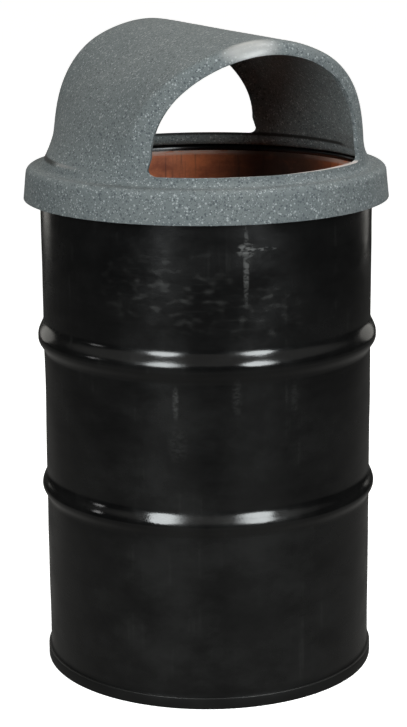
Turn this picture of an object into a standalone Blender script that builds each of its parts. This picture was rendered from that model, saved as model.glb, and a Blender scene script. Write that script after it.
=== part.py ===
"""Litter bin: an open-head steel drum with a push-on moulded hood.

Metres, +Z up.  The origin is the centre of the drum's foot, on the ground.
The hood's two openings face -Y and +Y.
"""

import math

import bmesh
import bpy

# ---------------------------------------------------------------- driving dimensions
SHEET = 0.0012               # steel sheet of the shell and of the bottom head
GAP = 0.0003                 # gap between two pieces that touch
TURN_SEGMENTS = 48           # facets round every turned steel piece

BODY_RADIUS = 0.2872         # drum, outside
DRUM_HEIGHT = 0.8822         # ground to the top of the rolled rim
RIM_ROLL_RADIUS = 0.0070     # rolled rim, outside of the roll
RIM_ROLL_END = -130.0        # degrees: where the roll's free edge stops
HOOP_HEIGHTS = (0.3255, 0.5880)
HOOP_RISE = 0.0095           # how far a rolling hoop stands out of the body
HOOP_HALF_HEIGHT = 0.0210

CHIME_HEIGHT = 0.0120        # folded seam at the foot
CHIME_EDGE = 0.0008          # chamfer on the seam's outside corners
HOOK_GAP = 0.0004            # between the shell's hook and the head's hook
HOOK_TOP = 0.0090            # the shell's hook ends here, inside the seam
HEAD_HOOK_FOOT = 0.0040      # the head's hook ends here
HEAD_RECESS = 0.0188         # ground to the underside of the bottom head
HEAD_BEND = 0.0030
LINING_THICKNESS = 0.0004
LINING_TOP = 0.8710

HOOD_WALL = 0.0070           # moulded plastic wall
SKIRT_FOOT_HEIGHT = 0.8350
SKIRT_FOOT_RADIUS = 0.3157
SKIRT_TOP_RADIUS = 0.3112    # before the rounded shoulder
SHOULDER_ROUND = 0.0120
DOME_FOOT_RADIUS = 0.2805
DOME_FOOT_ROUND = 0.0095     # hollow fillet between shoulder and dome
DOME_DRAFT = 0.035           # how fast the front and rear walls lean in
VAULT_HALF_WIDTH = 0.2085    # corner of vault and front wall, at the spring
VAULT_SPRING = 0.9350        # the arch of the vault starts here
VAULT_LEAN = 0.20            # how much its sides spread below the spring
CREST_HEIGHT = 1.1200
VAULT_BOW = (1.74, 2.16)     # superellipse powers of the vault, across and up
FLANK_STRAIGHT_AT = 1.1000   # above this the flanks run dead straight, front to rear
FLANK_FADE = 2.0             # how quickly their bulge dies out on the way up
EDGE_ROUND = 0.0110          # soft edge between the vault and the front and rear walls

OPENING_HALF_WIDTH = 0.1860  # at the spring
OPENING_SILL = 0.9055
OPENING_CORNER = 0.0110
OPENING_SPRING = 0.9350
OPENING_LEAN = 0.28          # how much its jambs spread below the spring
OPENING_TOP = 1.0970
OPENING_BOW = (1.88, 1.97)

# ---------------------------------------------------------------- derived dimensions
BODY_INSIDE = BODY_RADIUS - SHEET
HOOK_INSIDE = BODY_RADIUS + GAP + SHEET + HOOK_GAP
SEAM_ROOF = CHIME_HEIGHT - SHEET
SHOULDER_HEIGHT = DRUM_HEIGHT + GAP + HOOD_WALL
DOME_FOOT = SHOULDER_HEIGHT + DOME_FOOT_ROUND

UPRIGHT_STEPS = 3            # rows below the vault's spring
ARCH_STEPS = 9               # rows from the spring to the crest
FLANK_STEPS = 10             # columns along a flank
SILL_STEPS = 10              # columns along a sill
CORNER_STEPS = 2             # columns round an opening's lower corner


# ---------------------------------------------------------------- helpers
def clear_scene():
    for item in list(bpy.data.objects):
        bpy.data.objects.remove(item, do_unlink=True)


def make_material(name, color, roughness, metallic):
    material = bpy.data.materials.new(name)
    material.use_nodes = True
    shader = material.node_tree.nodes["Principled BSDF"]
    shader.inputs["Base Color"].default_value = (*color, 1.0)
    shader.inputs["Roughness"].default_value = roughness
    shader.inputs["Metallic"].default_value = metallic
    material.diffuse_color = (*color, 1.0)
    return material


def add_object(name, bm, material, sharp_angle):
    """Make one named node of the finished mesh."""
    mesh = bpy.data.meshes.new(name)
    bm.to_mesh(mesh)
    bm.free()
    mesh.shade_smooth()
    mesh.set_sharp_from_angle(angle=math.radians(sharp_angle))
    mesh.materials.append(material)
    item = bpy.data.objects.new(name, mesh)
    bpy.context.collection.objects.link(item)
    return item


def arc(centre_r, centre_z, radius, start, end, steps):
    """Points of an arc in the (r, z) half plane, angles in degrees."""
    points = []
    for i in range(steps + 1):
        angle = math.radians(start + (end - start) * i / steps)
        points.append((centre_r + radius * math.cos(angle), centre_z + radius * math.sin(angle)))
    return points


def turned(name, profile, material, sharp_angle=35.0):
    """Turn a closed (r, z) outline about +Z; a point at r = 0 becomes a pole.

    The outline runs anticlockwise when r points right and z points up.
    """
    bm = bmesh.new()
    rings = []
    for r, z in profile:
        if r == 0.0:
            rings.append([bm.verts.new((0.0, 0.0, z))])
            continue
        ring = []
        for i in range(TURN_SEGMENTS):
            angle = 2.0 * math.pi * i / TURN_SEGMENTS
            ring.append(bm.verts.new((r * math.cos(angle), r * math.sin(angle), z)))
        rings.append(ring)
    for lower, upper in zip(rings, rings[1:] + rings[:1]):
        if len(lower) == 1 and len(upper) == 1:
            continue
        for i in range(TURN_SEGMENTS):
            j = (i + 1) % TURN_SEGMENTS
            if len(lower) == 1:
                bm.faces.new((lower[0], upper[j], upper[i]))
            elif len(upper) == 1:
                bm.faces.new((lower[i], lower[j], upper[0]))
            else:
                bm.faces.new((lower[i], lower[j], upper[j], upper[i]))
    return add_object(name, bm, material, sharp_angle)


# ---------------------------------------------------------------- steel drum
def body_side(radius, low, high):
    """A body wall at this radius from low to high, with both rolling hoops."""
    points = [(radius, low)]
    shape = ((-1.0, 0.0), (-0.67, 0.25), (-0.33, 0.75), (0.0, 1.0), (0.33, 0.75), (0.67, 0.25), (1.0, 0.0))
    for centre in HOOP_HEIGHTS:
        for across, rise in shape:
            points.append((radius + HOOP_RISE * rise, centre + HOOP_HALF_HEIGHT * across))
    points.append((radius, high))
    return points


def make_drum_shell(material):
    """Rolled body: hook folded into the foot seam, two hoops, rolled rim."""
    hook_low = SHEET + GAP
    hook_outside = HOOK_INSIDE + SHEET
    roll_r = BODY_INSIDE + RIM_ROLL_RADIUS
    roll_z = DRUM_HEIGHT - RIM_ROLL_RADIUS
    outline = [
        (BODY_INSIDE, hook_low),
        (hook_outside, hook_low),
        (hook_outside, HOOK_TOP),
        (HOOK_INSIDE, HOOK_TOP),
        (HOOK_INSIDE, hook_low + SHEET),
    ]
    outline += body_side(BODY_RADIUS, hook_low + SHEET, roll_z)
    outline += arc(roll_r, roll_z, RIM_ROLL_RADIUS - SHEET, 180.0, RIM_ROLL_END, 7)[1:]
    outline += arc(roll_r, roll_z, RIM_ROLL_RADIUS, RIM_ROLL_END, 180.0, 8)
    outline += reversed(body_side(BODY_INSIDE, hook_low, roll_z)[1:-1])
    return turned("drum_shell", outline, material)


def make_bottom_head(material):
    """Pressed disc whose rim is folded round the shell's hook."""
    wall_outside = BODY_INSIDE - GAP
    wall_inside = wall_outside - SHEET
    seam_inside = HOOK_INSIDE + SHEET + GAP
    seam_outside = seam_inside + SHEET
    hook_inside = BODY_RADIUS + GAP
    disc_top = HEAD_RECESS + SHEET
    outline = [
        (0.0, HEAD_RECESS),
        (wall_inside - HEAD_BEND, HEAD_RECESS),
        (wall_inside, HEAD_RECESS - HEAD_BEND),
        (wall_inside, CHIME_EDGE),
        (wall_inside + CHIME_EDGE, 0.0),
        (seam_outside - CHIME_EDGE, 0.0),
        (seam_outside, CHIME_EDGE),
        (seam_outside, CHIME_HEIGHT - CHIME_EDGE),
        (seam_outside - CHIME_EDGE, CHIME_HEIGHT),
        (hook_inside, CHIME_HEIGHT),
        (hook_inside, HEAD_HOOK_FOOT),
        (hook_inside + SHEET, HEAD_HOOK_FOOT),
        (hook_inside + SHEET, SEAM_ROOF),
        (seam_inside, SEAM_ROOF),
        (seam_inside, SHEET),
        (wall_outside, SHEET),
        (wall_outside, HEAD_RECESS - HEAD_BEND),
        (wall_outside - HEAD_BEND - SHEET, disc_top),
        (0.0, disc_top),
    ]
    return turned("bottom_head", outline, material)


def make_seam_compound(material):
    """Ring of sealing compound in the roof of the foot seam, over the shell's hook."""
    outline = [
        (HOOK_INSIDE, HOOK_TOP + GAP),
        (HOOK_INSIDE + SHEET, HOOK_TOP + GAP),
        (HOOK_INSIDE + SHEET, SEAM_ROOF - GAP),
        (HOOK_INSIDE, SEAM_ROOF - GAP),
    ]
    return turned("seam_compound", outline, material)


def make_interior_lining(material):
    """Baked lining, drawn as one thin cup inside the shell and over the head."""
    outside = BODY_INSIDE - GAP
    inside = outside - LINING_THICKNESS
    floor = HEAD_RECESS + SHEET + GAP
    outline = [(0.0, floor)]
    outline += body_side(outside, floor, LINING_TOP)
    outline += reversed(body_side(inside, floor + LINING_THICKNESS, LINING_TOP))
    outline.append((0.0, floor + LINING_THICKNESS))
    return turned("interior_lining", outline, material)


# ---------------------------------------------------------------- moulded hood
def dome_radius(z):
    """Radius of the front and rear walls at this height."""
    return DOME_FOOT_RADIUS - DOME_DRAFT * (z - DOME_FOOT)


def on_dome(x, z, side):
    """Point of the front (side -1) or rear (side +1) wall at this x and height."""
    return (x, side * math.sqrt(dome_radius(z) ** 2 - x ** 2), z)


def arch_half(half_width, low, spring, top, lean, bow):
    """(x, z) points of half an arch: a leaning side from low to spring, then over to x = 0."""
    points = []
    for i in range(UPRIGHT_STEPS):
        z = low + (spring - low) * i / UPRIGHT_STEPS
        points.append((half_width + lean * (spring - z), z))
    for i in range(ARCH_STEPS + 1):
        angle = 0.5 * math.pi * i / ARCH_STEPS
        across = max(math.cos(angle), 0.0) ** (2.0 / bow[0])
        rise = math.sin(angle) ** (2.0 / bow[1])
        points.append((half_width * across if i < ARCH_STEPS else 0.0, spring + (top - spring) * rise))
    return points


def whole_arch(half):
    """The same arch from its foot at -x, over the top, to its foot at +x."""
    return [(-x, z) for x, z in half] + [(x, z) for x, z in reversed(half[:-1])]


def flank_bulge(z):
    """How far a flank's middle stands out past its two corners."""
    foot = DOME_FOOT_RADIUS - VAULT_HALF_WIDTH - VAULT_LEAN * (VAULT_SPRING - DOME_FOOT)
    rest = max(0.0, (FLANK_STRAIGHT_AT - z) / (FLANK_STRAIGHT_AT - DOME_FOOT))
    return foot * rest ** FLANK_FADE


def flank_row(x, z):
    """Points along a flank at one height, from the front corner to the rear corner."""
    side = -1.0 if x < 0.0 else 1.0
    half = math.sqrt(dome_radius(z) ** 2 - x ** 2)
    bulge = flank_bulge(z) if x else 0.0
    points = []
    if bulge < 1e-6:
        for i in range(FLANK_STEPS + 1):
            points.append((x, half * (2.0 * i / FLANK_STEPS - 1.0), z))
        return points
    radius = (half ** 2 + bulge ** 2) / (2.0 * bulge)
    reach = math.asin(half / radius)
    for i in range(FLANK_STEPS + 1):
        angle = reach * (2.0 * i / FLANK_STEPS - 1.0)
        out = abs(x) + bulge - radius + radius * math.cos(angle)
        points.append((side * out, radius * math.sin(angle), z))
    return points


def towards(start, end, distance):
    """Point at this distance from start, on the way to end."""
    length = math.dist(start, end)
    return tuple(a + (b - a) * distance / length for a, b in zip(start, end))


def round_corner(before, corner, after):
    """Three points of a soft corner, as a quadratic curve."""
    points = []
    for t in (0.25, 0.5, 0.75):
        weights = ((1 - t) ** 2, 2 * t * (1 - t), t ** 2)
        parts = zip(before, corner, after)
        points.append(tuple(sum(w * c for w, c in zip(weights, part)) for part in parts))
    return points


def on_foot_circle(point):
    """The point moved onto the dome's round foot."""
    scale = DOME_FOOT_RADIUS / math.hypot(point[0], point[1])
    return (point[0] * scale, point[1] * scale, DOME_FOOT)


def sill_loop(side):
    """The opening's lower edge, from the jamb at +x to the jamb at -x."""
    height = OPENING_SILL + OPENING_CORNER
    jamb = OPENING_HALF_WIDTH + OPENING_LEAN * (OPENING_SPRING - height)
    centre = jamb - OPENING_CORNER
    corner = [(centre + x, height + z) for x, z in arc(0.0, 0.0, OPENING_CORNER, 0.0, -90.0, CORNER_STEPS)]
    points = corner[1:]
    for i in range(1, SILL_STEPS):
        points.append((centre * (1.0 - 2.0 * i / SILL_STEPS), OPENING_SILL))
    points += [(-x, z) for x, z in reversed(corner[1:])]
    return [on_dome(x, z, side) for x, z in points]


def bridge(bm, first, second, closed):
    """Quads between two equal rows of vertices, skipping shared ones."""
    count = len(first)
    for i in range(count if closed else count - 1):
        j = (i + 1) % count
        corners = []
        for vert in (first[i], first[j], second[j], second[i]):
            if vert not in corners:
                corners.append(vert)
        if len(corners) > 2:
            bm.faces.new(corners)


def make_hood(material):
    """One moulding: skirt, round shoulder, and a dome that turns into a barrel vault."""
    bm = bmesh.new()
    cache = {}

    def vert(point):
        key = tuple(round(value, 7) for value in point)
        if key not in cache:
            cache[key] = bm.verts.new(point)
        return cache[key]

    vault = whole_arch(arch_half(
        VAULT_HALF_WIDTH, DOME_FOOT, VAULT_SPRING, CREST_HEIGHT, VAULT_LEAN, VAULT_BOW))
    opening = whole_arch(arch_half(
        OPENING_HALF_WIDTH, OPENING_SILL + OPENING_CORNER, OPENING_SPRING, OPENING_TOP,
        OPENING_LEAN, OPENING_BOW))

    # rows across the vault: soft front edge, flank, soft rear edge
    rows = []
    walls = {-1: [], 1: []}
    last = len(vault) - 1
    for index, ((x, z), (open_x, open_z)) in enumerate(zip(vault, opening)):
        flank = flank_row(x, z)
        row = flank[1:-1]
        for side in (-1, 1):
            corner = flank[0] if side < 0 else flank[-1]
            inner = flank[1] if side < 0 else flank[-2]
            if index in (0, last):
                turn = EDGE_ROUND / DOME_FOOT_RADIUS * (1.0 if x > 0.0 else -1.0) * side
                angle = math.atan2(corner[1], corner[0]) + turn
                wall = (DOME_FOOT_RADIUS * math.cos(angle), DOME_FOOT_RADIUS * math.sin(angle), z)
            else:
                wall = towards(corner, on_dome(open_x, open_z, side), EDGE_ROUND)
                wall = on_dome(wall[0], wall[2], side)
            start = towards(corner, inner, EDGE_ROUND)
            soft = [start] + round_corner(start, corner, wall) + [wall]
            if index in (0, last):
                soft = [on_foot_circle(point) for point in soft]
            walls[side].append(soft[-1])
            row = list(reversed(soft)) + row if side < 0 else row + soft
        rows.append([vert(point) for point in row])
    for first, second in zip(rows, rows[1:]):
        bridge(bm, first, second, False)

    # front and rear walls: from the soft edge and the foot to the opening's edge
    foot_arcs = {}
    for side in (-1, 1):
        sill = sill_loop(side)
        start = math.atan2(walls[side][-1][1], walls[side][-1][0])
        end = math.atan2(walls[side][0][1], walls[side][0][0])
        foot = []
        for i in range(1, len(sill) + 1):
            angle = start + (end - start) * i / (len(sill) + 1)
            foot.append((DOME_FOOT_RADIUS * math.cos(angle), DOME_FOOT_RADIUS * math.sin(angle), DOME_FOOT))
        foot_arcs[side] = [vert(point) for point in foot]
        outer = [vert(point) for point in walls[side]] + foot_arcs[side]
        edge = [on_dome(x, z, side) for x, z in opening] + sill
        inner = [vert(point) for point in edge]
        bridge(bm, outer, inner, True)

    # turned skirt, shoulder and fillet below the dome's round foot
    foot_ring = rows[0] + list(reversed(foot_arcs[1])) + list(reversed(rows[-1])) + foot_arcs[-1]
    profile = arc(DOME_FOOT_RADIUS + DOME_FOOT_ROUND, DOME_FOOT, DOME_FOOT_ROUND, 180.0, 270.0, 3)[1:]
    shoulder_low = SHOULDER_HEIGHT - SHOULDER_ROUND
    profile += arc(SKIRT_TOP_RADIUS - SHOULDER_ROUND, shoulder_low, SHOULDER_ROUND, 90.0, 0.0, 3)
    profile.append((SKIRT_FOOT_RADIUS, SKIRT_FOOT_HEIGHT))
    above = foot_ring
    for r, z in profile:
        ring = []
        for item in foot_ring:
            scale = r / math.hypot(item.co.x, item.co.y)
            ring.append(bm.verts.new((item.co.x * scale, item.co.y * scale, z)))
        bridge(bm, above, ring, True)
        above = ring

    bmesh.ops.recalc_face_normals(bm, faces=bm.faces)
    crest = max(bm.faces, key=lambda face: face.calc_center_median().z)
    if crest.normal.z < 0.0:
        bmesh.ops.reverse_faces(bm, faces=bm.faces)
    hood = add_object("hood", bm, material, 40.0)
    wall = hood.modifiers.new("wall", "SOLIDIFY")
    wall.thickness = HOOD_WALL
    wall.offset = -1.0
    wall.use_even_offset = True
    return hood


def main():
    clear_scene()
    enamel = make_material("black_enamel", (0.012, 0.012, 0.013), 0.30, 0.0)
    compound = make_material("seam_rubber", (0.10, 0.10, 0.09), 0.80, 0.0)
    lining = make_material("red_lining", (0.25, 0.065, 0.025), 0.55, 0.0)
    granite = make_material("granite_plastic", (0.22, 0.25, 0.26), 0.60, 0.0)
    make_drum_shell(enamel)
    make_bottom_head(enamel)
    make_seam_compound(compound)
    make_interior_lining(lining)
    make_hood(granite)


main()
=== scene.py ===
"""Looks of the litter bin: a black steel drum under a hood of speckled grey plastic.

Metres, +Z up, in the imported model's frame.  The hood's openings face -Y (front) and +Y (rear).
Angles and ways round the drum start at the camera's side and are positive to the camera's right.
"""

import math

import bmesh
import bpy
from mathutils import Matrix, Vector, noise


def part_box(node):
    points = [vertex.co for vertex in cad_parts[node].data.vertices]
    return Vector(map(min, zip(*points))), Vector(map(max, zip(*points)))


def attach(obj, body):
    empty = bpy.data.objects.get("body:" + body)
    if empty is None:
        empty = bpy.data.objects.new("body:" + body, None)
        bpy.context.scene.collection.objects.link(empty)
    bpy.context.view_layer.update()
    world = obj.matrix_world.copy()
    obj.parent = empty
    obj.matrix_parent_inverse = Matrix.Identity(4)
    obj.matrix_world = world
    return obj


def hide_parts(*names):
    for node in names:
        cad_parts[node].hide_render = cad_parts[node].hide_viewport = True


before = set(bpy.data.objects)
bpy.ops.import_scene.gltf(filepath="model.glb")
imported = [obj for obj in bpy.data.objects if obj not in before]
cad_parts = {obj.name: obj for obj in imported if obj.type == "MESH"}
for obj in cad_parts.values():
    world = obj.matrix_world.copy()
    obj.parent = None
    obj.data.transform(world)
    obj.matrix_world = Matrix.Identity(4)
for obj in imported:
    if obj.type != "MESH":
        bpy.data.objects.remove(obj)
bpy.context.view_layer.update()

# ---------------------------------------------------------------- camera
CAMERA_AZIMUTH = math.radians(-23.3)    # about +Z, from straight in front
CAMERA_DISTANCE = 3.541                 # level, from the drum's axis
CAMERA_HEIGHT = 1.4065
CAMERA_PITCH = math.radians(13.874)     # looking down
CAMERA_YAW = math.radians(0.110)
CAMERA_ROLL = math.radians(-0.428)
CAMERA_LENS = 102.09                    # millimetres
CAMERA_SENSOR = 36.0                    # millimetres

# ---------------------------------------------------------------- sizes read from the frame
shell_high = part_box("drum_shell")[1]
head_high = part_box("bottom_head")[1]
lining_low, lining_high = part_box("interior_lining")
hood_low, hood_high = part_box("hood")

DRUM_HEIGHT = shell_high.z
SEAM_OUTSIDE = head_high.x
CHIME_HEIGHT = head_high.z
LINING_FLOOR = lining_low.z
LINING_TOP = lining_high.z
SKIRT_FOOT_HEIGHT = hood_low.z
SKIRT_FOOT_RADIUS = hood_high.x
CREST_HEIGHT = hood_high.z

# ---------------------------------------------------------------- drum
SHEET = 0.0012
GAP = 0.0003                  # between the folded seam's layers, and outside the lining
BODY_RADIUS = 0.2872
BODY_INSIDE = BODY_RADIUS - SHEET
RIM_ROLL_RADIUS = 0.0070
RIM_ROLL_END = -130.0         # degrees, where the rolled edge stops
HOOPS = (                     # rise, then four heights: lower foot, crest from and to, upper foot
    (0.0082, 0.3015, 0.3225, 0.3225, 0.3505),
    (0.0096, 0.5670, 0.5885, 0.5940, 0.6240),
)
HOOK_LOW = SHEET + GAP        # the body's hook in the foot seam
HOOK_TOP = 0.0090
DENT_DEPTH = 0.0007           # gentle unevenness of the rolled sheet
DENTS = (                     # noise scale round the drum and up it, where it starts, its share
    (2.1, 7.0, 0.0, 1.6),
    (5.5, 17.0, 9.0, 0.6),
)
TRUE_TO = 0.02                # no dents and no weld this close to the rim and the foot
UNEVEN_FROM = 0.10            # and all of them this far away
HOOP_STIFFNESS = 60.0         # share of the dents lost per metre of a hoop's rise
WELD_ANGLE = math.radians(150.0)
WELD_HALF_WIDTH = 0.0035
WELD_CROWN = 0.4              # its flat middle, as a share of its half width
WELD_RISE = 0.0004
LINING_THICKNESS = 0.0004
DISC_TOP = LINING_FLOOR - GAP
HEAD_RECESS = DISC_TOP - SHEET
HEAD_BEND = 0.0030            # inside radius between the disc and its rim
FOLD = 0.0011                 # outside radius of the folded foot seam's edges
FOLD_FOOT = 0.0040            # lower end of the head's fold, behind the body's hook
BEAD_RADII = (0.105, 0.215)   # rings pressed into the bottom head
BEAD_DEPTH = 0.0040
BEAD_HALF_WIDTH = 0.0110

# ---------------------------------------------------------------- hood
HOOD_WALL = 0.0070
SKIRT_TOP_RADIUS = 0.3112
SHOULDER_ROUND = 0.0120
SHOULDER_HEIGHT = DRUM_HEIGHT + GAP + HOOD_WALL
DOME_FOOT_RADIUS = 0.2805
DOME_FOOT_ROUND = 0.0095
DOME_FOOT = SHOULDER_HEIGHT + DOME_FOOT_ROUND
DOME_DRAFT = 0.035            # front and rear walls lean in by this much per metre
VAULT_HALF_WIDTH = 0.2118
VAULT_SPRING = 0.9350
VAULT_LEAN = 0.20             # lean of its sides below the spring, per metre
VAULT_BOW = (1.76, 2.24)      # roundness of the arch across and upwards, 2 for an ellipse
FLANK_STRAIGHT_AT = 1.1000    # from this height up the flanks no longer bulge
FLANK_FADE = 2.0              # how fast the bulge goes on the way there
NEARLY_FLAT = 1e-6            # bulge of a flank that is as good as straight
EDGE_ROUND = 0.0110           # soft edge between the vault and the front and rear walls
CREST_ROUND = 0.0200          # and at the crest
CREST_ROUND_FROM = 0.040      # below the crest, where it begins to widen
CREST_ROUND_TO = 0.004
OPENING_HALF_WIDTH = 0.1860
OPENING_SILL = 0.9055
OPENING_CORNER = 0.0110
OPENING_SPRING = 0.9350
OPENING_LEAN = 0.28
OPENING_TOP = 1.0970
OPENING_BOW = (1.90, 2.03)
TRIM_ROUND = 0.0016           # soft edge of the openings and of the skirt's foot
TRIM_ANGLE = 55.0             # degrees, edges sharper than this get it
HOOD_WAVE = 0.0005            # unevenness of the moulding
HOOD_WAVES = (                # noise scale, where it starts, its share
    (6.0, (0.0, 0.0, 0.0), 1.5),
    (17.0, (3.0, 1.0, 2.0), 0.5),
)
SEAT_TRUE_TO = 0.005          # none of it this close to the height where the hood rests
SEAT_WAVY_FROM = 0.020

# ---------------------------------------------------------------- marks
# Areas on the drum: way round, height, and half sizes.
SMEAR_AREAS = (
    (-0.060, 0.725, 0.17, 0.110),
    (0.09, 0.690, 0.12, 0.085),
)
# Painted reflection: lighter columns down the body where the two front lamps reflect.
PAINTED_GLOW_AREAS = (
    (-0.060, 0.36, 0.060, 0.42),
    (0.080, 0.32, 0.070, 0.42),
)
SCUFF_AREAS = (
    (0.0650, 0.7880, 0.020, 0.014),
    (0.098, 0.7885, 0.022, 0.0035),
)
TRAILS = (                    # dried trails, each with its strength
    ((0.0643, 0.762, 0.0062, 0.078), 0.52),
    ((-0.053, 0.534, 0.0070, 0.036), 0.28),
    ((-0.050, 0.464, 0.0200, 0.042), 0.09),
    ((0.049, 0.542, 0.0110, 0.038), 0.11),
    ((0.150, 0.532, 0.0090, 0.036), 0.08),
)
PAINTED_SHADOW_AREA = (0.755, 0.80, 0.16, 0.30)  # painted shadow inside the drum, on its rear right
DUST_TOP = 0.85               # dust thins out up to here
FOOT_DARK_RISE = 0.014            # the darker paint on the foot seam ends this far above it
POLISH_FADE = 0.008           # edge of the glossier bands over the hoops
PALE_EDGE = (0.010, 0.004)    # the lining's paler edge, from and to, below its top
GLINT_PATCH_AT = (-0.040, -0.268, 1.108)     # top of the front opening: a painted highlight, paler, and smoother there
GLINT_PATCH_SIZE = (0.066, 0.034, 0.034)

# ---------------------------------------------------------------- colours
ENAMEL = (0.0026, 0.0026, 0.0027)
# Dust colour, also used for the painted reflection columns.
ENAMEL_DUST_AND_GLOW = (0.0120, 0.0120, 0.0117)
ENAMEL_SMEAR = (0.021, 0.021, 0.020)
ENAMEL_DRIP = (0.022, 0.022, 0.021)
ENAMEL_SCUFF = (0.100, 0.100, 0.097)
# Darker paint on the foot seam.
ENAMEL_FOOT_DARK = (0.0035, 0.0035, 0.0033)
RUBBER_DARK = (0.06, 0.06, 0.05)
RUBBER_PALE = (0.14, 0.14, 0.12)
LINING_RED = (0.70, 0.190, 0.058)
LINING_BROWN = (0.36, 0.085, 0.028)
LINING_STREAK = (0.075, 0.022, 0.012)
# Paler colour along the top edge and in the scrapes.
LINING_PALE = (0.55, 0.36, 0.29)
# Darker towards the drum's bottom, and the painted shadow on the rear right.
LINING_DARK_AND_SHADOW = (0.030, 0.018, 0.012)
PLASTIC_DARKER = (0.112, 0.128, 0.131)
PLASTIC_PALER = (0.140, 0.154, 0.154)
PLASTIC_GRAIN = (0.092, 0.109, 0.115)
SPECK_DARK = (0.040, 0.050, 0.056)
SPECK_PALE = (0.32, 0.345, 0.35)
# Painted highlight along the front sill's cut edge.
SILL_HIGHLIGHT = (0.50, 0.44, 0.41)
# Painted shade along the rear sill's cut edge.
SILL_SHADE = (0.010, 0.010, 0.009)
# Painted highlight: the pale glint patch above the front opening.
PAINTED_GLINT = (0.33, 0.33, 0.325)
INSIDE_PAINTED_LIGHT = (1.6, 1.6, 1.55)          # painted light: how much lighter the hood's inside is made
GLOSS_IOR = 1.5               # of the enamel and of the plastic

# ---------------------------------------------------------------- surroundings
FLOOR_RADIUS = 30.0
FLOOR_COLOUR = (0.80, 0.80, 0.80)
FLOOR_GLOW = 0.80
FLOOR_ROUGHNESS = 0.9
WHITE = (1.0, 1.0, 1.0)
SKY = (                       # way from straight down, 0, to straight up, 1, and the grey there
    (0.0, 0.14),
    (0.33, 0.14),
    (0.42, 0.012),
    (0.62, 0.014),
    (0.70, 0.28),
    (1.0, 0.30),
)
SKY_TINT = (1.0, 0.985, 0.94)
AIM_HEIGHT = 0.70             # the lights point at the axis at this height
SOFTBOXES = (                 # name, azimuth and elevation in degrees, distance, size, power, tint
    ("key_left", -29.0, 15.0, 3.2, (1.15, 1.5), 62.0, (0.94, 0.99, 1.0)),
    ("key_right", 33.0, 15.0, 3.2, (1.15, 1.5), 62.0, (0.94, 0.99, 1.0)),
    ("top", -40.0, 62.0, 2.6, (1.6, 1.4), 12.0, (1.0, 0.98, 0.90)),
    ("glint", 84.0, 62.0, 2.9, (1.0, 1.6), 42.0, (1.0, 1.0, 0.98)),
    ("back", 180.0, 45.0, 3.0, (1.5, 1.0), 9.0, (1.0, 0.98, 0.90)),
    ("fill_left", -78.0, 5.0, 3.0, (0.35, 0.35), 1.0, (1.0, 1.0, 1.0)),
    ("side_left", -140.0, 12.0, 3.0, (1.8, 2.3), 7.6, (1.0, 0.98, 0.92)),
    ("side_right", 140.0, 12.0, 3.0, (1.8, 2.3), 6.8, (1.0, 0.98, 0.92)),
)

# ---------------------------------------------------------------- mesh fineness
TURNS = 168                   # steps round the drum
WELD_STEPS = (-1.0, -0.7, -0.4, 0.0, 0.4, 0.7, 1.0)     # more of them, in half widths of the weld
PLAIN_ROW = 0.0180            # height of the plain body's rows
HOOP_ROW = 0.0026             # and of the rows over a hoop
RIM_STEPS = (20, 22)          # inside and outside of the rolled rim
FOLD_STEPS = 4
BEND_STEPS = (5, 6)           # inside and outside of the bottom head's bend
BEAD_STEPS = 5                # rows on each side of a ring's middle
UPRIGHT_STEPS = 6
ARCH_STEPS = 26
FLANK_STEPS = 26
SILL_STEPS = 30
CORNER_STEPS = 6
BAND_STEPS = 4                # rows between the vault's edge and the opening
SOFT_STEPS = 5
DOME_FOOT_STEPS = 6
SHOULDER_STEPS = 7
SKIRT_STEPS = 5
TRIM_STEPS = 3
DRUM_CRISP = 40.0             # degrees, edges sharper than this are not smoothed over
HOOD_CRISP = 50.0


# ================================================================ small tools
def arc(centre_r, centre_z, radius, start, end, steps):
    """Points of an arc in the (r, z) half plane, angles in degrees."""
    points = []
    for i in range(steps + 1):
        angle = math.radians(start + (end - start) * i / steps)
        points.append((centre_r + radius * math.cos(angle), centre_z + radius * math.sin(angle)))
    return points


def smooth_step(start, end, value):
    """0 up to the start, 1 from the end on, with soft ends; the end may be the lower one."""
    t = min(max((value - start) / (end - start), 0.0), 1.0)
    return t * t * (3.0 - 2.0 * t)


def around(angle_from_camera):
    """Angle about +Z, from +X, of a place this far to the right as the camera sees it."""
    return CAMERA_AZIMUTH - math.pi / 2.0 + angle_from_camera


def finish_piece(name, bm, material, body, nodes, crisp_angle):
    """Make a visible piece that stands for CAD nodes and rides on a body."""
    mesh = bpy.data.meshes.new(name)
    bm.to_mesh(mesh)
    bm.free()
    mesh.shade_smooth()
    mesh.set_sharp_from_angle(angle=math.radians(crisp_angle))
    mesh.materials.append(material)
    piece = bpy.data.objects.new(name, mesh)
    bpy.context.scene.collection.objects.link(piece)
    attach(piece, body)
    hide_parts(*nodes)
    return piece


def turned(profile, angles, shift=None):
    """Turn a closed (r, z) outline about +Z; shift(angle, z) moves a point outwards."""
    bm = bmesh.new()
    rings = []
    for r, z in profile:
        if r == 0.0:
            rings.append([bm.verts.new((0.0, 0.0, z))])
            continue
        ring = []
        for angle in angles:
            radius = r + (shift(angle, z) if shift else 0.0)
            ring.append(bm.verts.new((radius * math.cos(angle), radius * math.sin(angle), z)))
        rings.append(ring)
    count = len(angles)
    for lower, upper in zip(rings, rings[1:] + rings[:1]):
        if len(lower) == 1 and len(upper) == 1:
            continue
        for i in range(count):
            j = (i + 1) % count
            if len(lower) == 1:
                bm.faces.new((lower[0], upper[j], upper[i]))
            elif len(upper) == 1:
                bm.faces.new((lower[i], lower[j], upper[0]))
            else:
                bm.faces.new((lower[i], lower[j], upper[j], upper[i]))
    return bm


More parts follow.
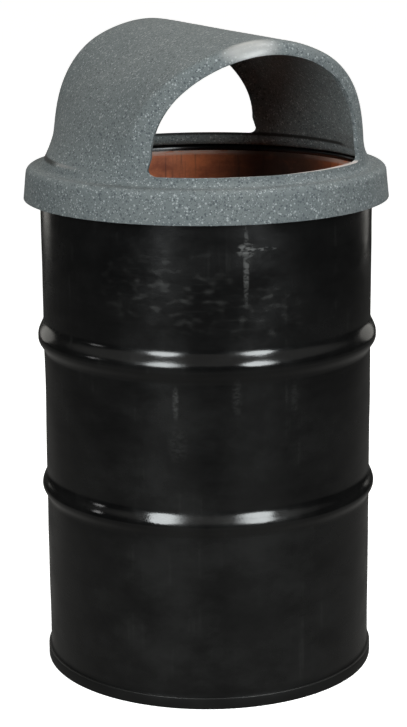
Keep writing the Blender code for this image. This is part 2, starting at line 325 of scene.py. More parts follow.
# ================================================================ material tools
class Graph:
    """A material's node tree, with one short call for each kind of node."""

    def __init__(self, name):
        self.material = bpy.data.materials.new(name)
        self.material.use_nodes = True
        self.tree = self.material.node_tree
        self.shader = self.tree.nodes["Principled BSDF"]

    def put(self, socket, value):
        """Link a socket to another, or set a number, a vector or a colour on it."""
        if isinstance(value, bpy.types.NodeSocket):
            self.tree.links.new(value, socket)
        elif socket.type == "RGBA":
            socket.default_value = (*value, 1.0)
        else:
            socket.default_value = value

    def node(self, kind, inputs=None, **settings):
        item = self.tree.nodes.new(kind)
        for key, value in settings.items():
            setattr(item, key, value)
        for key, value in (inputs or {}).items():
            self.put(item.inputs[key], value)
        return item

    def coordinates(self, kind):
        return self.node("ShaderNodeTexCoord").outputs[kind]

    def parts(self, vector):
        """The X, Y and Z of a vector."""
        return self.node("ShaderNodeSeparateXYZ", {0: vector}).outputs

    def math(self, operation, first, second):
        item = self.node("ShaderNodeMath", {0: first, 1: second}, operation=operation)
        return item.outputs[0]

    def times(self, first, second):
        return self.math("MULTIPLY", first, second)

    def most(self, first, *others):
        """The greatest of several values."""
        for other in others:
            first = self.math("MAXIMUM", first, other)
        return first

    def vector_math(self, operation, first, second, output="Vector"):
        item = self.node("ShaderNodeVectorMath", {0: first, 1: second}, operation=operation)
        return item.outputs[output]

    def noise(self, vector, scale, detail, roughness):
        """Smooth noise; scale is one number, or one for each axis."""
        if isinstance(scale, tuple):
            vector = self.vector_math("MULTIPLY", vector, scale)
            scale = 1.0
        item = self.node("ShaderNodeTexNoise", {
            "Vector": vector, "Scale": scale, "Detail": detail, "Roughness": roughness})
        return item.outputs["Fac"]

    def span(self, value, low, high, to_low=0.0, to_high=1.0):
        """Map low..high to to_low..to_high, with soft ends."""
        item = self.node("ShaderNodeMapRange", {
            "Value": value, "From Min": low, "From Max": high,
            "To Min": to_low, "To Max": to_high}, interpolation_type="SMOOTHSTEP")
        return item.outputs["Result"]

    def mix(self, factor, first, second, blend="MIX"):
        """Mix two colours; inputs 6 and 7 and output 2 of the node are its colour sockets."""
        item = self.node("ShaderNodeMix", data_type="RGBA", blend_type=blend)
        self.put(item.inputs["Factor"], factor)
        self.put(item.inputs[6], first)
        self.put(item.inputs[7], second)
        return item.outputs[2]

    def over(self, base, top, cover, share):
        """Lay a colour over another where cover is 1, at most this share of it."""
        return self.mix(self.times(cover, share), base, top)

    def bump(self, height, distance, strength=1.0, normal=None):
        inputs = {"Height": height, "Distance": distance, "Strength": strength}
        if normal:
            inputs["Normal"] = normal
        return self.node("ShaderNodeBump", inputs).outputs["Normal"]

    def finish(self, base, rough, normal):
        """Hand the finished colour, roughness and normal to the shader."""
        self.put(self.shader.inputs["Base Color"], base)
        self.put(self.shader.inputs["Roughness"], rough)
        self.put(self.shader.inputs["Normal"], normal)
        return self.material


def way_round(graph, parts):
    """Metres round the drum's sheet, positive to the camera's right, 0 facing the camera."""
    turn = Matrix.Rotation(-around(0.0), 2)
    x = graph.math("ADD", graph.times(parts["X"], turn[0][0]), graph.times(parts["Y"], turn[0][1]))
    y = graph.math("ADD", graph.times(parts["X"], turn[1][0]), graph.times(parts["Y"], turn[1][1]))
    return graph.times(graph.math("ARCTAN2", y, x), BODY_RADIUS)


def patch(graph, way, height, area):
    """1 in the middle of a soft oval patch of the drum, 0 outside it."""
    middle_way, middle_height, half_way, half_height = area
    across = graph.math("DIVIDE", graph.math("SUBTRACT", way, middle_way), half_way)
    up = graph.math("DIVIDE", graph.math("SUBTRACT", height, middle_height), half_height)
    far = graph.math("ADD", graph.times(across, across), graph.times(up, up))
    return graph.span(far, 0.0, 1.0, 1.0, 0.0)


def patches(graph, way, height, areas):
    """Several soft oval patches together."""
    return graph.most(*[patch(graph, way, height, area) for area in areas])


def specks(graph, cells, channel, low, high, radius):
    """Round dots on the cells whose random number in this channel lies between low and high."""
    edge = 0.15
    picked = graph.node("ShaderNodeSeparateColor", {0: cells.outputs["Color"]}).outputs[channel]
    chosen = graph.times(graph.math("GREATER_THAN", picked, low),
                         graph.math("LESS_THAN", picked, high))
    dot = graph.span(cells.outputs["Distance"], radius, radius + edge, 1.0, 0.0)
    return graph.times(chosen, dot)


# ================================================================ materials
def black_enamel():
    """Gloss black paint, dusty towards the foot, scuffed and smeared on the front, with painted
    reflections of the two front lamps as lighter columns down it.
    """
    graph = Graph("black_enamel")
    where = graph.coordinates("Object")
    parts = graph.parts(where)
    way = way_round(graph, parts)
    height = parts["Z"]

    cloud = graph.noise(where, (9.0, 9.0, 14.0), 5.0, 0.6)
    blots = graph.noise(where, (42.0, 42.0, 80.0), 1.2, 0.5)
    brushed = graph.noise(where, (13.0, 13.0, 210.0), 3.0, 0.5)
    drips = graph.noise(where, (80.0, 80.0, 5.0), 3.0, 0.5)
    grit = graph.noise(where, (105.0, 105.0, 230.0), 3.0, 0.5)

    dust = graph.times(graph.span(cloud, 0.20, 0.80), graph.span(height, DUST_TOP, 0.0, 0.15, 1.0))
    smears = graph.most(graph.span(blots, 0.36, 0.86), graph.span(brushed, 0.40, 0.90, 0.0, 0.60))
    smears = graph.times(smears, patches(graph, way, height, SMEAR_AREAS))
    smears = graph.math("POWER", smears, 2.0)
    # Painted reflection: two lighter columns where the front lamps would reflect in the body.
    painted_glow = patches(graph, way, height, PAINTED_GLOW_AREAS)
    runs = graph.times(graph.span(drips, 0.56, 0.75), graph.span(cloud, 0.45, 0.70))
    scuffs = graph.times(graph.span(grit, 0.42, 0.70), patches(graph, way, height, SCUFF_AREAS))
    for area, strength in TRAILS:
        beads = graph.span(grit, 0.36, 0.66, 0.15 * strength, strength)
        scuffs = graph.most(scuffs, graph.times(patch(graph, way, height, area), beads))
    # Darker, duller paint on the foot seam.
    foot_dark = graph.span(height, CHIME_HEIGHT + FOOT_DARK_RISE, CHIME_HEIGHT)
    bands = []
    for _, low_foot, _, _, high_foot in HOOPS:
        bands.append(graph.times(graph.span(height, low_foot, low_foot + POLISH_FADE),
                                 graph.span(height, high_foot, high_foot - POLISH_FADE)))
    polished = graph.most(*bands)

    paint = graph.mix(dust, ENAMEL, ENAMEL_DUST_AND_GLOW)
    paint = graph.over(paint, ENAMEL_DUST_AND_GLOW, painted_glow, 0.40)
    paint = graph.over(paint, ENAMEL_SMEAR, smears, 0.90)
    paint = graph.over(paint, ENAMEL_DRIP, runs, 0.50)
    paint = graph.mix(scuffs, paint, ENAMEL_SCUFF)
    paint = graph.over(paint, ENAMEL_FOOT_DARK, foot_dark, 0.85)

    dull = graph.most(graph.times(smears, 0.50), scuffs,
                      graph.times(dust, 0.35), graph.times(foot_dark, 0.70))
    rough = graph.math("ADD", graph.span(cloud, 0.3, 0.7, 0.16, 0.26), graph.times(dull, 0.32))
    rough = graph.math("SUBTRACT", rough, graph.times(polished, 0.08))

    wavy = graph.noise(where, (16.0, 16.0, 60.0), 3.0, 0.5)
    peel = graph.noise(where, 420.0, 2.0, 0.5)
    normal = graph.bump(wavy, 0.0010, 0.20)
    normal = graph.bump(peel, 0.00006, 1.0, normal)
    graph.put(graph.shader.inputs["IOR"], GLOSS_IOR)
    return graph.finish(paint, rough, normal)


def seam_rubber():
    """Dull sealing compound, slightly uneven."""
    graph = Graph("seam_rubber")
    lumps = graph.noise(graph.coordinates("Object"), 240.0, 4.0, 0.6)
    base = graph.mix(lumps, RUBBER_DARK, RUBBER_PALE)
    rough = graph.span(lumps, 0.3, 0.7, 0.70, 0.90)
    return graph.finish(base, rough, graph.bump(lumps, 0.0004))


def red_lining():
    """Baked red-brown coat, scraped, paler along its upper edge, darker towards the bottom, and
    with a painted shadow on its rear right.
    """
    graph = Graph("red_lining")
    where = graph.coordinates("Object")
    parts = graph.parts(where)
    height = parts["Z"]
    cloud = graph.noise(where, (18.0, 18.0, 26.0), 6.0, 0.65)
    streaks = graph.noise(where, (110.0, 110.0, 9.0), 4.0, 0.6)
    scrapes = graph.noise(where, (55.0, 55.0, 420.0), 5.0, 0.65)

    # A broken paler band along the top edge, and pale scrapes.
    edge = graph.span(height, LINING_TOP - PALE_EDGE[0], LINING_TOP - PALE_EDGE[1])
    pale_edge_and_scrapes = graph.times(edge, graph.span(scrapes, 0.30, 0.50))
    pale_edge_and_scrapes = graph.most(pale_edge_and_scrapes, graph.span(scrapes, 0.70, 0.78, 0.0, 0.5))
    # Painted shadow: a dark patch on the drum's rear right wall, where shade falls; the coat also
    # darkens towards the bottom.
    painted_shadow = graph.times(patch(graph, way_round(graph, parts), height, PAINTED_SHADOW_AREA),
                        graph.span(cloud, 0.25, 0.50, 0.6, 0.95))
    low_dark_and_shadow = graph.most(graph.span(height, 0.45, 0.02, 0.0, 0.8), painted_shadow)

    coat = graph.mix(graph.span(cloud, 0.35, 0.68), LINING_RED, LINING_BROWN)
    coat = graph.mix(graph.span(streaks, 0.54, 0.76, 0.0, 0.60), coat, LINING_STREAK)
    coat = graph.mix(pale_edge_and_scrapes, coat, LINING_PALE)
    coat = graph.mix(low_dark_and_shadow, coat, LINING_DARK_AND_SHADOW)
    rough = graph.span(cloud, 0.3, 0.7, 0.38, 0.62)
    return graph.finish(coat, rough, graph.bump(cloud, 0.0012, 0.5))


def granite_plastic():
    """Grey polyethylene with pale and dark specks, and a fine moulded grain; painted light makes
    its inside lighter, and paints a highlight and shade on the sills and a glint above the front
    opening.
    """
    graph = Graph("granite_plastic")
    where = graph.coordinates("Object")
    parts = graph.parts(where)
    facing = graph.coordinates("Normal")
    drift = graph.noise(where, 7.0, 3.0, 0.5)
    grain = graph.noise(where, 900.0, 2.0, 0.6)
    base = graph.mix(graph.span(drift, 0.3, 0.7), PLASTIC_DARKER, PLASTIC_PALER)
    base = graph.mix(graph.span(grain, 0.35, 0.70), base, PLASTIC_GRAIN)

    coarse = graph.node("ShaderNodeTexVoronoi", {"Vector": where, "Scale": 230.0})
    fine = graph.node("ShaderNodeTexVoronoi", {"Vector": where, "Scale": 430.0})
    dark = graph.most(specks(graph, coarse, 0, 0.0, 0.20, 0.42),
                      specks(graph, fine, 0, 0.0, 0.25, 0.40))
    pale = graph.most(specks(graph, coarse, 1, 0.88, 1.0, 0.34),
                      specks(graph, fine, 1, 0.86, 1.0, 0.36))
    base = graph.over(base, SPECK_DARK, dark, 0.72)
    base = graph.over(base, SPECK_PALE, pale, 0.68)

    # Inside the hood the surface faces the axis and is made lighter, as painted light; the cut
    # sills face up, with a painted highlight on the front one and painted shade on the rear one.
    from_axis = graph.vector_math("MULTIPLY", where, (1.0, 1.0, 0.0))
    outwards = graph.vector_math("DOT_PRODUCT", facing, from_axis, "Value")
    inside = graph.span(outwards, -0.005, -0.06)
    base = graph.mix(inside, base, graph.mix(1.0, base, INSIDE_PAINTED_LIGHT, "MULTIPLY"))
    front = graph.span(parts["Y"], 0.02, -0.02)
    sill = graph.times(graph.span(parts["Z"], OPENING_SILL + 0.004, OPENING_SILL + 0.001),
                       graph.span(parts["Z"], OPENING_SILL - 0.006, OPENING_SILL - 0.002))
    upwards = graph.span(graph.parts(facing)["Z"], 0.5, 0.9, 0.0, 0.8)
    # Painted highlight on the upward face of the front sill's cut edge.
    sill_highlight = graph.times(graph.times(sill, front), upwards)
    base = graph.mix(sill_highlight, base, SILL_HIGHLIGHT)
    # Painted shade: a dark line along the rear sill's cut edge.
    sill_shade = graph.times(sill, graph.math("SUBTRACT", 1.0, front))
    base = graph.over(base, SILL_SHADE, sill_shade, 0.9)

    # Painted highlight: a pale patch above the front opening stands in for a glint; it is also
    # smoother and less pebbled there.
    away = graph.vector_math("SUBTRACT", where, GLINT_PATCH_AT)
    away = graph.vector_math("DIVIDE", away, GLINT_PATCH_SIZE)
    away = graph.node("ShaderNodeVectorMath", {0: away}, operation="LENGTH").outputs["Value"]
    glint_patch = graph.span(away, 1.0, 0.3)
    base = graph.over(base, PAINTED_GLINT, glint_patch, 0.80)
    rough = graph.span(drift, 0.3, 0.7, 0.80, 0.88)
    rough = graph.math("SUBTRACT", rough, graph.times(glint_patch, 0.52))

    swell = graph.noise(where, 14.0, 2.0, 0.5)
    pebbles = graph.noise(where, 380.0, 3.0, 0.6)
    pebble_strength = graph.math("SUBTRACT", 1.0, graph.times(glint_patch, 0.85))
    normal = graph.bump(swell, 0.0015, 0.4)
    normal = graph.bump(pebbles, 0.00012, pebble_strength, normal)
    graph.put(graph.shader.inputs["IOR"], GLOSS_IOR)
    return graph.finish(base, rough, normal)


# ================================================================ steel drum
def hoop_rise(z):
    """How far the body stands out at this height."""
    for rise, low_foot, crest_low, crest_high, high_foot in HOOPS:
        if low_foot < z < high_foot:
            below = (crest_low - z) / (crest_low - low_foot)
            above = (z - crest_high) / (high_foot - crest_high)
            return rise * 0.5 * (1.0 + math.cos(math.pi * max(below, above, 0.0)))
    return 0.0


def body_heights(low, high):
    """Heights for rows of the body: close together over the hoops, wide apart between them."""
    heights = [low]
    z = low
    while z < high - 0.001:
        step = PLAIN_ROW
        for _, low_foot, _, _, high_foot in HOOPS:
            if low_foot - PLAIN_ROW < z < high_foot:
                step = HOOP_ROW
        z = min(z + step, high)
        heights.append(z)
    return heights


def body_wall(radius, low, high):
    return [(radius + hoop_rise(z), z) for z in body_heights(low, high)]


def sheet_shift(angle, z):
    """Dents in the rolled sheet, and the weld down its length; none at the rim and the foot."""
    calm = smooth_step(TRUE_TO, UNEVEN_FROM, z)
    calm *= smooth_step(DRUM_HEIGHT - TRUE_TO, DRUM_HEIGHT - UNEVEN_FROM, z)
    if calm == 0.0:
        return 0.0
    dents = 0.0
    for scale_round, scale_up, start, share in DENTS:
        dents += share * noise.noise(Vector((
            scale_round * math.cos(angle), scale_round * math.sin(angle), scale_up * z + start)))
    stiff = 1.0 - HOOP_STIFFNESS * hoop_rise(z)
    weld_way = abs(math.remainder(angle - around(WELD_ANGLE), 2.0 * math.pi)) * BODY_RADIUS
    weld = WELD_RISE * smooth_step(WELD_HALF_WIDTH, WELD_CROWN * WELD_HALF_WIDTH, weld_way)
    return calm * (DENT_DEPTH * stiff * dents + weld)


def even_angles():
    return [2.0 * math.pi * i / TURNS for i in range(TURNS)]


def sheet_angles():
    """Even steps round the drum, with closer ones over the weld."""
    weld = around(WELD_ANGLE) % (2.0 * math.pi)
    return sorted(even_angles() + [
        weld + step * WELD_HALF_WIDTH / BODY_RADIUS for step in WELD_STEPS])


def make_drum_body(material):
    """Rolled body: hook in the foot seam, two hoops, rim rolled outwards."""
    hook_inside = SEAM_OUTSIDE - 2.0 * SHEET - GAP
    hook_outside = hook_inside + SHEET
    roll_r = BODY_INSIDE + RIM_ROLL_RADIUS
    roll_z = DRUM_HEIGHT - RIM_ROLL_RADIUS
    inner_roll = RIM_ROLL_RADIUS - SHEET
    outline = [
        (BODY_INSIDE, HOOK_LOW),
        (hook_outside, HOOK_LOW),
        (hook_outside, HOOK_TOP),
        (hook_inside, HOOK_TOP),
        (hook_inside, HOOK_LOW + SHEET),
    ]
    outline += body_wall(BODY_RADIUS, HOOK_LOW + SHEET, roll_z)
    outline += arc(roll_r, roll_z, inner_roll, 180.0, RIM_ROLL_END, RIM_STEPS[0])[1:]
    outline += arc(roll_r, roll_z, RIM_ROLL_RADIUS, RIM_ROLL_END, 180.0, RIM_STEPS[1])
    outline += reversed(body_wall(BODY_INSIDE, HOOK_LOW, roll_z)[1:-1])
    bm = turned(outline, sheet_angles(), sheet_shift)
    finish_piece("drum_body", bm, material, "drum", ["drum_shell"], DRUM_CRISP)


def bead_drop(r):
    """How deep the bottom head is pressed down at this radius."""
    drop = 0.0
    for centre in BEAD_RADII:
        across = abs(r - centre) / BEAD_HALF_WIDTH
        if across < 1.0:
            drop += BEAD_DEPTH * 0.5 * (1.0 + math.cos(math.pi * across))
    return drop


def disc_row(z, reach):
    """A face of the bottom head's disc from its middle outwards, pressed rings and all."""
    radii = [0.0]
    for centre in BEAD_RADII:
        for step in range(-BEAD_STEPS, BEAD_STEPS + 1):
            radii.append(centre + BEAD_HALF_WIDTH * step / BEAD_STEPS)
    radii.append(reach)
    return [(r, z - bead_drop(r)) for r in radii]


def make_drum_foot(material):
    """Bottom head: pressed disc whose rim is folded round the body's hook."""
    wall_outside = BODY_INSIDE - GAP
    wall_inside = wall_outside - SHEET
    seam_inside = SEAM_OUTSIDE - SHEET
    seam_roof = CHIME_HEIGHT - SHEET
    fold_inside = BODY_RADIUS + GAP
    fold_outside = fold_inside + SHEET
    outer_bend = HEAD_BEND + SHEET
    outline = disc_row(HEAD_RECESS, wall_inside - HEAD_BEND)
    outline += arc(wall_inside - HEAD_BEND, HEAD_RECESS - HEAD_BEND, HEAD_BEND,
                   90.0, 0.0, BEND_STEPS[0])[1:]
    outline += arc(wall_inside + FOLD, FOLD, FOLD, 180.0, 270.0, FOLD_STEPS)
    outline += arc(SEAM_OUTSIDE - FOLD, FOLD, FOLD, 270.0, 360.0, FOLD_STEPS)
    outline += arc(SEAM_OUTSIDE - FOLD, CHIME_HEIGHT - FOLD, FOLD, 0.0, 90.0, FOLD_STEPS)
    outline += [
        (fold_inside, CHIME_HEIGHT),
        (fold_inside, FOLD_FOOT),
        (fold_outside, FOLD_FOOT),
        (fold_outside, seam_roof),
        (seam_inside, seam_roof),
        (seam_inside, SHEET),
        (wall_outside, SHEET),
    ]
    outline += arc(wall_outside - outer_bend, DISC_TOP - outer_bend, outer_bend,
                   0.0, 90.0, BEND_STEPS[1])
    outline += reversed(disc_row(DISC_TOP, wall_outside - outer_bend)[:-1])
    bm = turned(outline, even_angles())
    finish_piece("drum_foot", bm, material, "drum", ["bottom_head"], DRUM_CRISP)


def make_drum_lining(material):
    """The baked coat: one thin cup that follows the body and its dents."""
    outside = BODY_INSIDE - GAP
    inside = outside - LINING_THICKNESS
    floor_top = LINING_FLOOR + LINING_THICKNESS
    outline = [(0.0, LINING_FLOOR)]
    outline += body_wall(outside, LINING_FLOOR, LINING_TOP)
    outline += reversed(body_wall(inside, floor_top, LINING_TOP))
    outline.append((0.0, floor_top))
    bm = turned(outline, sheet_angles(), sheet_shift)
    finish_piece("drum_lining", bm, material, "drum", ["interior_lining"], DRUM_CRISP)


# ================================================================ moulded hood
def dome_radius(z):
    """Radius of the front and rear walls at this height."""
    return DOME_FOOT_RADIUS - DOME_DRAFT * (z - DOME_FOOT)


def on_dome(x, z, side):
    """Point of the front (side -1) or rear (side +1) wall at this x and height."""
    return (x, side * math.sqrt(dome_radius(z) ** 2 - x ** 2), z)


def arch_half(half_width, low, spring, top, lean, bow):
    """(x, z) points of half an arch: a leaning side from low to spring, then over to x = 0."""
    points = []
    for i in range(UPRIGHT_STEPS):
        z = low + (spring - low) * i / UPRIGHT_STEPS
        points.append((half_width + lean * (spring - z), z))
    for i in range(ARCH_STEPS + 1):
        angle = 0.5 * math.pi * i / ARCH_STEPS
        across = max(math.cos(angle), 0.0) ** (2.0 / bow[0])
        rise = math.sin(angle) ** (2.0 / bow[1])
        x = half_width * across if i < ARCH_STEPS else 0.0
        points.append((x, spring + (top - spring) * rise))
    return points


def whole_arch(half):
    """The same arch from its foot at -x, over the top, to its foot at +x."""
    return [(-x, z) for x, z in half] + [(x, z) for x, z in reversed(half[:-1])]


def flank_bulge(z):
    """How far a flank's middle stands out past its two corners."""
    foot = DOME_FOOT_RADIUS - VAULT_HALF_WIDTH - VAULT_LEAN * (VAULT_SPRING - DOME_FOOT)
    rest = max(0.0, (FLANK_STRAIGHT_AT - z) / (FLANK_STRAIGHT_AT - DOME_FOOT))
    return max(foot * rest ** FLANK_FADE, NEARLY_FLAT)


def edge_round(z):
    """Width of the soft edge between vault and wall, greatest at the crest."""
    widened = smooth_step(CREST_HEIGHT - CREST_ROUND_FROM, CREST_HEIGHT - CREST_ROUND_TO, z)
    return EDGE_ROUND + (CREST_ROUND - EDGE_ROUND) * widened


def flank_row(x, z):
    """Points along a flank at one height: a corner, the flank between its soft edges, a corner."""
    side = -1.0 if x < 0.0 else 1.0
    half = math.sqrt(dome_radius(z) ** 2 - x ** 2)
    bulge = flank_bulge(z) if x else NEARLY_FLAT
    radius = (half ** 2 + bulge ** 2) / (2.0 * bulge)
    reach = math.asin(half / radius)
    inner_reach = reach - edge_round(z) / radius
    angles = [-reach]
    angles += [inner_reach * (2.0 * i / FLANK_STEPS - 1.0) for i in range(FLANK_STEPS + 1)]
    angles.append(reach)
    points = []
    for angle in angles:
        out = abs(x) + bulge - radius + radius * math.cos(angle)
        points.append((side * out, radius * math.sin(angle), z))
    return points


def towards(start, end, distance):
    """Point at this distance from start, on the way to end."""
    length = math.dist(start, end)
    return tuple(a + (b - a) * distance / length for a, b in zip(start, end))


def round_corner(before, corner, after):
    """Points of a soft corner between its two ends, as a quadratic curve."""
    points = []
    for i in range(1, SOFT_STEPS):
        t = i / SOFT_STEPS
        weights = ((1 - t) ** 2, 2 * t * (1 - t), t ** 2)
        parts = zip(before, corner, after)
        points.append(tuple(sum(w * c for w, c in zip(weights, part)) for part in parts))
    return points


def foot_point(angle):
    """Point of the dome's round foot at this angle."""
    return (DOME_FOOT_RADIUS * math.cos(angle), DOME_FOOT_RADIUS * math.sin(angle), DOME_FOOT)


def on_foot_circle(point):
    """The point moved onto the dome's round foot."""
    scale = DOME_FOOT_RADIUS / math.hypot(point[0], point[1])
    return (point[0] * scale, point[1] * scale, DOME_FOOT)


def sill_loop():
    """(x, z) of the opening's lower edge, from the jamb at +x to the jamb at -x."""
    height = OPENING_SILL + OPENING_CORNER
    jamb = OPENING_HALF_WIDTH + OPENING_LEAN * (OPENING_SPRING - height)
    centre = jamb - OPENING_CORNER
    corner = arc(centre, height, OPENING_CORNER, 0.0, -90.0, CORNER_STEPS)[1:]
    points = list(corner)
    for i in range(1, SILL_STEPS):
        points.append((centre * (1.0 - 2.0 * i / SILL_STEPS), OPENING_SILL))
    points += [(-x, z) for x, z in reversed(corner)]
    return points


class Skin:
    """A surface under construction; places that are the same share a vertex."""

    def __init__(self):
        self.bm = bmesh.new()
        self.known = {}

    def row(self, points):
        verts = []
        for point in points:
            key = tuple(round(value, 7) for value in point)
            if key not in self.known:
                self.known[key] = self.bm.verts.new(point)
            verts.append(self.known[key])
        return verts

    def ring_below(self, ring, radius, z):
        """A round ring of new vertices, each straight out or in from one of the given ring."""
        verts = []
        for item in ring:
            scale = radius / math.hypot(item.co.x, item.co.y)
            verts.append(self.bm.verts.new((item.co.x * scale, item.co.y * scale, z)))
        return verts

    def bridge(self, first, second, closed):
        """Quads between two equal rows of vertices, skipping shared ones."""
        count = len(first)
        for i in range(count if closed else count - 1):
            j = (i + 1) % count
            corners = []
            for vert in (first[i], first[j], second[j], second[i]):
                if vert not in corners:
                    corners.append(vert)
            if len(corners) > 2:
                self.bm.faces.new(corners)


def vault_row(vault_point, opening_point, at_foot):
    """One row over the vault, soft edges and all, from the front wall to the rear wall."""
    x, z = vault_point
    flank = flank_row(x, z)
    row = flank[1:-1]
    for side, corner, start in ((-1, flank[0], flank[1]), (1, flank[-1], flank[-2])):
        if at_foot:
            turn = EDGE_ROUND / DOME_FOOT_RADIUS * (1.0 if x > 0.0 else -1.0) * side
            wall = foot_point(math.atan2(corner[1], corner[0]) + turn)
        else:
            wall = towards(corner, on_dome(*opening_point, side), edge_round(z))
            wall = on_dome(wall[0], wall[2], side)
        soft = round_corner(start, corner, wall) + [wall]
        row = list(reversed(soft)) + row if side < 0 else row + soft
    return [on_foot_circle(point) for point in row] if at_foot else row


def add_wall(skin, side, edge, opening):
    """Front or rear wall, from the vault's edge and the dome's foot in to the opening."""
    sill = sill_loop()
    start = math.atan2(edge[-1][1], edge[-1][0])
    end = math.atan2(edge[0][1], edge[0][0])
    gaps = len(sill) + 1
    foot = [foot_point(start + (end - start) * i / gaps) for i in range(1, gaps)]
    foot_verts = skin.row(foot)
    outer = edge + foot
    before = skin.row(outer)
    for step in range(1, BAND_STEPS + 1):
        t = step / BAND_STEPS
        loop = []
        for point, (open_x, open_z) in zip(outer, opening + sill):
            x = point[0] + (open_x - point[0]) * t
            z = point[2] + (open_z - point[2]) * t
            loop.append(on_dome(x, z, side))
        loop = skin.row(loop)
        skin.bridge(before, loop, True)
        before = loop
    return foot_verts


def skirt_profile():
    """(r, z) points from the dome's foot over the shoulder and down the skirt."""
    points = arc(DOME_FOOT_RADIUS + DOME_FOOT_ROUND, DOME_FOOT, DOME_FOOT_ROUND,
                 180.0, 270.0, DOME_FOOT_STEPS)[1:]
    shoulder_low = SHOULDER_HEIGHT - SHOULDER_ROUND
    points += arc(SKIRT_TOP_RADIUS - SHOULDER_ROUND, shoulder_low, SHOULDER_ROUND,
                  90.0, 0.0, SHOULDER_STEPS)
    for step in range(1, SKIRT_STEPS + 1):
        t = step / SKIRT_STEPS
        points.append((SKIRT_TOP_RADIUS + (SKIRT_FOOT_RADIUS - SKIRT_TOP_RADIUS) * t,
                       shoulder_low + (SKIRT_FOOT_HEIGHT - shoulder_low) * t))
    return points


def hood_wave(point):
    """Unevenness of the moulding at a point; none where the hood sits on the rim."""
    seat = smooth_step(SEAT_WAVY_FROM, SEAT_TRUE_TO, abs(point.z - SHOULDER_HEIGHT))
    waves = 0.0
    for scale, start, share in HOOD_WAVES:
        waves += share * noise.noise(point * scale + Vector(start))
    return HOOD_WAVE * (1.0 - seat) * waves


def hood_surface():
    """Outer face of the moulding: skirt, shoulder, and a dome that turns into a barrel vault."""
    skin = Skin()
    vault = whole_arch(arch_half(
        VAULT_HALF_WIDTH, DOME_FOOT, VAULT_SPRING, CREST_HEIGHT, VAULT_LEAN, VAULT_BOW))
    opening = whole_arch(arch_half(
        OPENING_HALF_WIDTH, OPENING_SILL + OPENING_CORNER, OPENING_SPRING, OPENING_TOP,
        OPENING_LEAN, OPENING_BOW))

    last = len(vault) - 1
    lines = []
    for index, (vault_point, opening_point) in enumerate(zip(vault, opening)):
        lines.append(vault_row(vault_point, opening_point, index in (0, last)))
    rows = [skin.row(line) for line in lines]
    for first, second in zip(rows, rows[1:]):
        skin.bridge(first, second, False)
    front_foot = add_wall(skin, -1, [line[0] for line in lines], opening)
    rear_foot = add_wall(skin, 1, [line[-1] for line in lines], opening)

    above = rows[0] + list(reversed(rear_foot)) + list(reversed(rows[-1])) + front_foot
    foot_ring = above
    for r, z in skirt_profile():
        ring = skin.ring_below(foot_ring, r, z)
        skin.bridge(above, ring, True)
        above = ring

    bm = skin.bm
    bmesh.ops.recalc_face_normals(bm, faces=bm.faces)
    crest = max(bm.faces, key=lambda face: face.calc_center_median().z)
    if crest.normal.z < 0.0:
        bmesh.ops.reverse_faces(bm, faces=bm.faces)
    bm.normal_update()
    moves = [(item, item.normal * hood_wave(item.co)) for item in bm.verts if not item.is_boundary]
    for item, move in moves:
        item.co += move
    return bm


def make_hood(material):
    """The moulding as one wall, with soft trimmed edges."""
    hood = finish_piece("hood_moulding", hood_surface(), material, "hood",
                        ["hood"], HOOD_CRISP)
    wall = hood.modifiers.new("wall", "SOLIDIFY")
    wall.thickness = HOOD_WALL
    wall.offset = -1.0
    wall.use_even_offset = True
    trim = hood.modifiers.new("trim", "BEVEL")
    trim.width = TRIM_ROUND
    trim.segments = TRIM_STEPS
    trim.limit_method = "ANGLE"
    trim.angle_limit = math.radians(TRIM_ANGLE)


# ================================================================ stage
def make_camera():
    data = bpy.data.cameras.new("camera")
    data.lens = CAMERA_LENS
    data.sensor_width = CAMERA_SENSOR
    camera = bpy.data.objects.new("camera", data)
    place = Matrix.Rotation(CAMERA_AZIMUTH, 4, "Z")
    place @= Matrix.Translation((0.0, -CAMERA_DISTANCE, CAMERA_HEIGHT))
    place @= Matrix.Rotation(CAMERA_YAW, 4, "Z")
    place @= Matrix.Rotation(math.pi / 2.0 - CAMERA_PITCH, 4, "X")
    place @= Matrix.Rotation(CAMERA_ROLL, 4, "Z")
    camera.matrix_world = place
    bpy.context.scene.collection.objects.link(camera)
    bpy.context.scene.camera = camera


def make_floor():
    """A plain floor that glows nearly white, so that only a soft shadow at the foot shows."""
    bm = bmesh.new()
    bmesh.ops.create_circle(bm, cap_ends=True, segments=96, radius=FLOOR_RADIUS)
    mesh = bpy.data.meshes.new("floor")
    bm.to_mesh(mesh)
    bm.free()
    graph = Graph("floor")
    graph.put(graph.shader.inputs["Base Color"], FLOOR_COLOUR)
    graph.put(graph.shader.inputs["Roughness"], FLOOR_ROUGHNESS)
    graph.put(graph.shader.inputs["Specular IOR Level"], 0.0)
    graph.put(graph.shader.inputs["Emission Color"], WHITE)
    graph.put(graph.shader.inputs["Emission Strength"], FLOOR_GLOW)
    mesh.materials.append(graph.material)
    floor = bpy.data.objects.new("floor", mesh)
    bpy.context.scene.collection.objects.link(floor)
    floor.visible_glossy = False
    floor.visible_diffuse = False


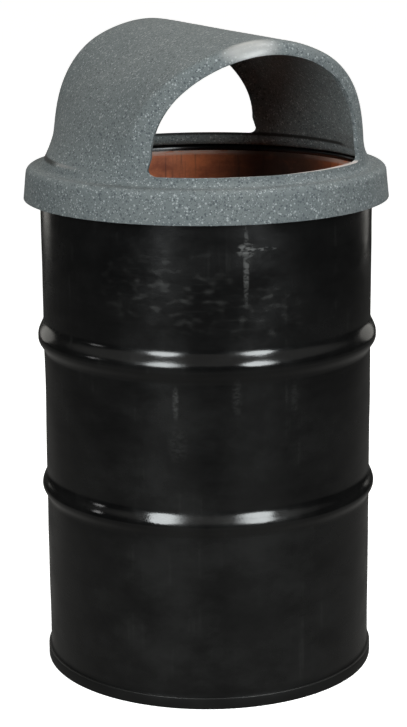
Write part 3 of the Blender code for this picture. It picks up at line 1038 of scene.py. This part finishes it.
def softbox(name, azimuth, elevation, distance, size, power, tint):
    """An oval light facing the drum; azimuth, from the camera's side, and elevation in degrees."""
    data = bpy.data.lights.new(name, "AREA")
    data.shape = "ELLIPSE"
    data.size, data.size_y = size
    data.energy = power
    data.color = tint
    light = bpy.data.objects.new(name, data)
    turn = around(math.radians(azimuth))
    lift = math.radians(elevation)
    level = math.cos(lift)
    way = Vector((math.cos(turn) * level, math.sin(turn) * level, math.sin(lift)))
    light.location = Vector((0.0, 0.0, AIM_HEIGHT)) + way * distance
    light.rotation_euler = way.to_track_quat("Z", "Y").to_euler()
    light.visible_camera = False
    bpy.context.scene.collection.objects.link(light)


def make_world():
    """White to the camera; to all else grey above and below, with a dark band between them."""
    world = bpy.data.worlds.new("studio")
    world.use_nodes = True
    tree = world.node_tree
    where = tree.nodes.new("ShaderNodeTexCoord")
    parts = tree.nodes.new("ShaderNodeSeparateXYZ")
    ramp = tree.nodes.new("ShaderNodeValToRGB")
    share = tree.nodes.new("ShaderNodeMath")
    white = tree.nodes.new("ShaderNodeBackground")
    path = tree.nodes.new("ShaderNodeLightPath")
    mix = tree.nodes.new("ShaderNodeMixShader")
    shade = tree.nodes["Background"]

    # The ramp's own two stops are replaced, one before and one after, as it is never empty.
    stops = ramp.color_ramp.elements
    stops.remove(stops[1])
    for place, grey in SKY:
        stop = stops.new(place)
        stop.color = (*(grey * part for part in SKY_TINT), 1.0)
    stops.remove(stops[0])
    share.operation = "MULTIPLY_ADD"
    share.inputs[1].default_value = 0.5
    share.inputs[2].default_value = 0.5
    white.inputs["Color"].default_value = (*WHITE, 1.0)

    tree.links.new(where.outputs["Generated"], parts.inputs[0])
    tree.links.new(parts.outputs["Z"], share.inputs[0])
    tree.links.new(share.outputs[0], ramp.inputs[0])
    tree.links.new(ramp.outputs["Color"], shade.inputs["Color"])
    tree.links.new(path.outputs["Is Camera Ray"], mix.inputs[0])
    tree.links.new(shade.outputs[0], mix.inputs[1])
    tree.links.new(white.outputs[0], mix.inputs[2])
    tree.links.new(mix.outputs[0], tree.nodes["World Output"].inputs[0])
    bpy.context.scene.world = world


def make_studio():
    make_camera()
    make_floor()
    make_world()
    for settings in SOFTBOXES:
        softbox(*settings)
    bpy.context.scene.view_settings.view_transform = "Standard"


make_studio()
enamel = black_enamel()
make_drum_body(enamel)
make_drum_foot(enamel)
make_drum_lining(red_lining())
make_hood(granite_plastic())
seam_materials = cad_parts["seam_compound"].data.materials
seam_materials.clear()
seam_materials.append(seam_rubber())
